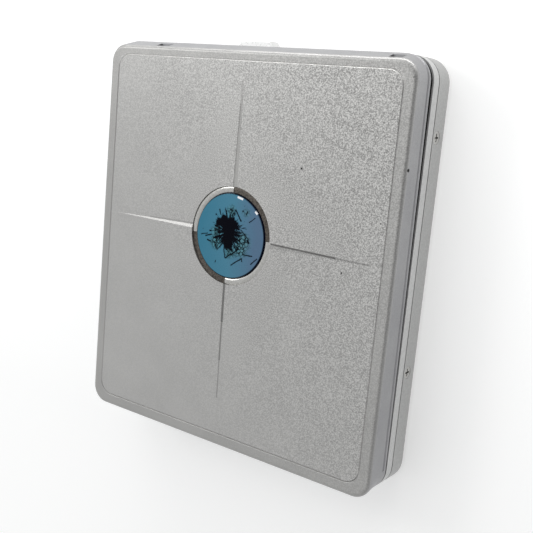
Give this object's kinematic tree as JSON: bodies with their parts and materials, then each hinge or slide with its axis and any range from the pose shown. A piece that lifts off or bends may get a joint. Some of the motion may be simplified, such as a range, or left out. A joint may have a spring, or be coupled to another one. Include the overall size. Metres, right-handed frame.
{
  "type": "portable minidisc player",
  "caption": "Pocket minidisc player with a silver metal lid, a blue round jewel in a pinwheel relief, a sliding opening knob, a disc holder and pickup drive inside.",
  "frame": {"origin": "middle of the flat back, in the plane that the player rests on", "axes": "+X towards the bare right side, +Y towards the end that opens, +Z out of the lid face; the battery door, buttons and headphone socket are on the -X side and the hinge is at the -Y end"},
  "size_m": [0.0729, 0.0818, 0.0143],
  "materials": {
    "silver_paint": "satin",
    "pale_plastic": "satin",
    "silver_plastic": "satin",
    "lid_steel": "satin",
    "screw_steel": "polished",
    "deck_aluminium": "satin",
    "dark_plastic": "matte",
    "button_chrome": "polished",
    "battery_wrap": "gloss",
    "contact_brass": "satin",
    "damper_rubber": "matte",
    "board_green": "satin",
    "white_nylon": "satin",
    "sled_grey": "matte",
    "lens_glass": "polished",
    "jewel_blue": "gloss",
    "ring_polished": "polished",
    "ring_brown": "polished"
  },
  "bodies": {
    "base": {"back_screws": "screw_steel", "battery": "battery_wrap", "battery_contacts": "contact_brass", "battery_cover": "dark_plastic", "battery_door_pin": "screw_steel", "battery_tray": "dark_plastic", "bottom_shell": "silver_paint", "button_board": "board_green", "button_switches": "dark_plastic", "chassis_deck": "deck_aluminium", "circuit_board": "board_green", "circuit_chips": "dark_plastic", "deck_dampers": "damper_rubber", "guide_rods": "screw_steel", "hinge_pins": "screw_steel", "hold_switch": "dark_plastic", "insulating_sheet": "dark_plastic", "jack_socket": "button_chrome", "locating_pins": "screw_steel", "mid_frame": "pale_plastic", "motor_bracket": "lid_steel", "motor_coils": "contact_brass", "motor_posts": "screw_steel", "rod_brackets": "dark_plastic", "side_screws": "screw_steel", "sled_motor": "deck_aluminium", "spindle_motor_base": "lid_steel"},
    "lid": {"lid_cover": "silver_paint", "lid_liner": "lid_steel", "lid_hinge_brackets": "lid_steel", "lid_screws": "screw_steel", "lid_catches": "lid_steel", "jewel": "jewel_blue", "jewel_ring_bright": "ring_polished", "jewel_ring_dark": "ring_brown"},
    "disc_holder": {"holder_roof": "lid_steel", "holder_rail_left": "lid_steel", "holder_rail_right": "lid_steel"},
    "opening_latch": {"open_knob": "button_chrome", "latch_bar": "lid_steel"},
    "hold_slider": {"hold_knob": "button_chrome"},
    "volume_down": {"volume_down_button": "button_chrome"},
    "volume_up": {"volume_up_button": "button_chrome"},
    "skip_back": {"skip_back_button": "button_chrome"},
    "play": {"play_button": "button_chrome"},
    "skip_forward": {"skip_forward_button": "button_chrome"},
    "battery_gate": {"battery_door": "silver_plastic"},
    "spindle": {"rotor_can": "deck_aluminium", "spindle_shaft": "screw_steel", "turntable": "dark_plastic", "clamp_magnet": "deck_aluminium"},
    "pickup_sled": {"pickup_block": "sled_grey", "lens_holder": "dark_plastic", "objective_lens": "lens_glass", "screw_nut": "white_nylon"},
    "sled_screw": {"lead_screw": "screw_steel", "screw_gear": "white_nylon"},
    "sled_pinion": {"motor_pinion": "white_nylon"}
  },
  "joints": [
    {"name": "lid_hinge", "type": "hinge", "parent": "base", "child": "lid", "pos_m": [0, -0.03823, 0.0101], "axis": [1, 0, 0], "range_deg": [0, 42]},
    {"name": "holder_hinge", "type": "hinge", "parent": "base", "child": "disc_holder", "pos_m": [0, -0.03823, 0.0101], "axis": [1, 0, 0], "range_deg": [0, 17]},
    {"name": "open_slide", "type": "slide", "parent": "base", "child": "opening_latch", "axis": [1, 0, 0], "range_m": [0, 0.003], "stiffness_N_per_m": 300, "springref_m": -0.002},
    {"name": "hold_slide", "type": "slide", "parent": "base", "child": "hold_slider", "axis": [0, 1, 0], "range_m": [0, 0.0016]},
    {"name": "volume_down_press", "type": "slide", "parent": "base", "child": "volume_down", "axis": [1, 0, 0], "range_m": [0, 0.0004], "stiffness_N_per_m": 2500, "springref_m": -0.0002},
    {"name": "volume_up_press", "type": "slide", "parent": "base", "child": "volume_up", "axis": [1, 0, 0], "range_m": [0, 0.0004], "stiffness_N_per_m": 2500, "springref_m": -0.0002},
    {"name": "skip_back_press", "type": "slide", "parent": "base", "child": "skip_back", "axis": [1, 0, 0], "range_m": [0, 0.0004], "stiffness_N_per_m": 2500, "springref_m": -0.0002},
    {"name": "play_press", "type": "slide", "parent": "base", "child": "play", "axis": [1, 0, 0], "range_m": [0, 0.0004], "stiffness_N_per_m": 2500, "springref_m": -0.0002},
    {"name": "skip_forward_press", "type": "slide", "parent": "base", "child": "skip_forward", "axis": [1, 0, 0], "range_m": [0, 0.0004], "stiffness_N_per_m": 2500, "springref_m": -0.0002},
    {"name": "battery_door_hinge", "type": "hinge", "parent": "base", "child": "battery_gate", "pos_m": [-0.0352, -0.03453, 0.0034], "axis": [0, 0, 1], "range_deg": [0, 90]},
    {"name": "spindle_spin", "type": "hinge", "parent": "base", "child": "spindle", "pos_m": [0, 0.00217, 0.005], "axis": [0, 0, 1], "continuous": true},
    {"name": "sled_slide", "type": "slide", "parent": "base", "child": "pickup_sled", "axis": [1, 0, 0], "range_m": [0, 0.0136]},
    {"name": "lead_screw_spin", "type": "hinge", "parent": "base", "child": "sled_screw", "pos_m": [0.02, 0.01418, 0.0039], "axis": [1, 0, 0], "range_deg": [0, 4081]},
    {"name": "motor_pinion_spin", "type": "hinge", "parent": "base", "child": "sled_pinion", "pos_m": [0.01, 0.01645, 0.0034], "axis": [1, 0, 0], "range_deg": [-7651, 0]}
  ],
  "couplings": [
    {"joint": "holder_hinge", "follows": "lid_hinge", "ratio": 0.4},
    {"joint": "lead_screw_spin", "follows": "sled_slide", "rad_per_m": 5236},
    {"joint": "motor_pinion_spin", "follows": "sled_slide", "rad_per_m": -9817.5}
  ]
}
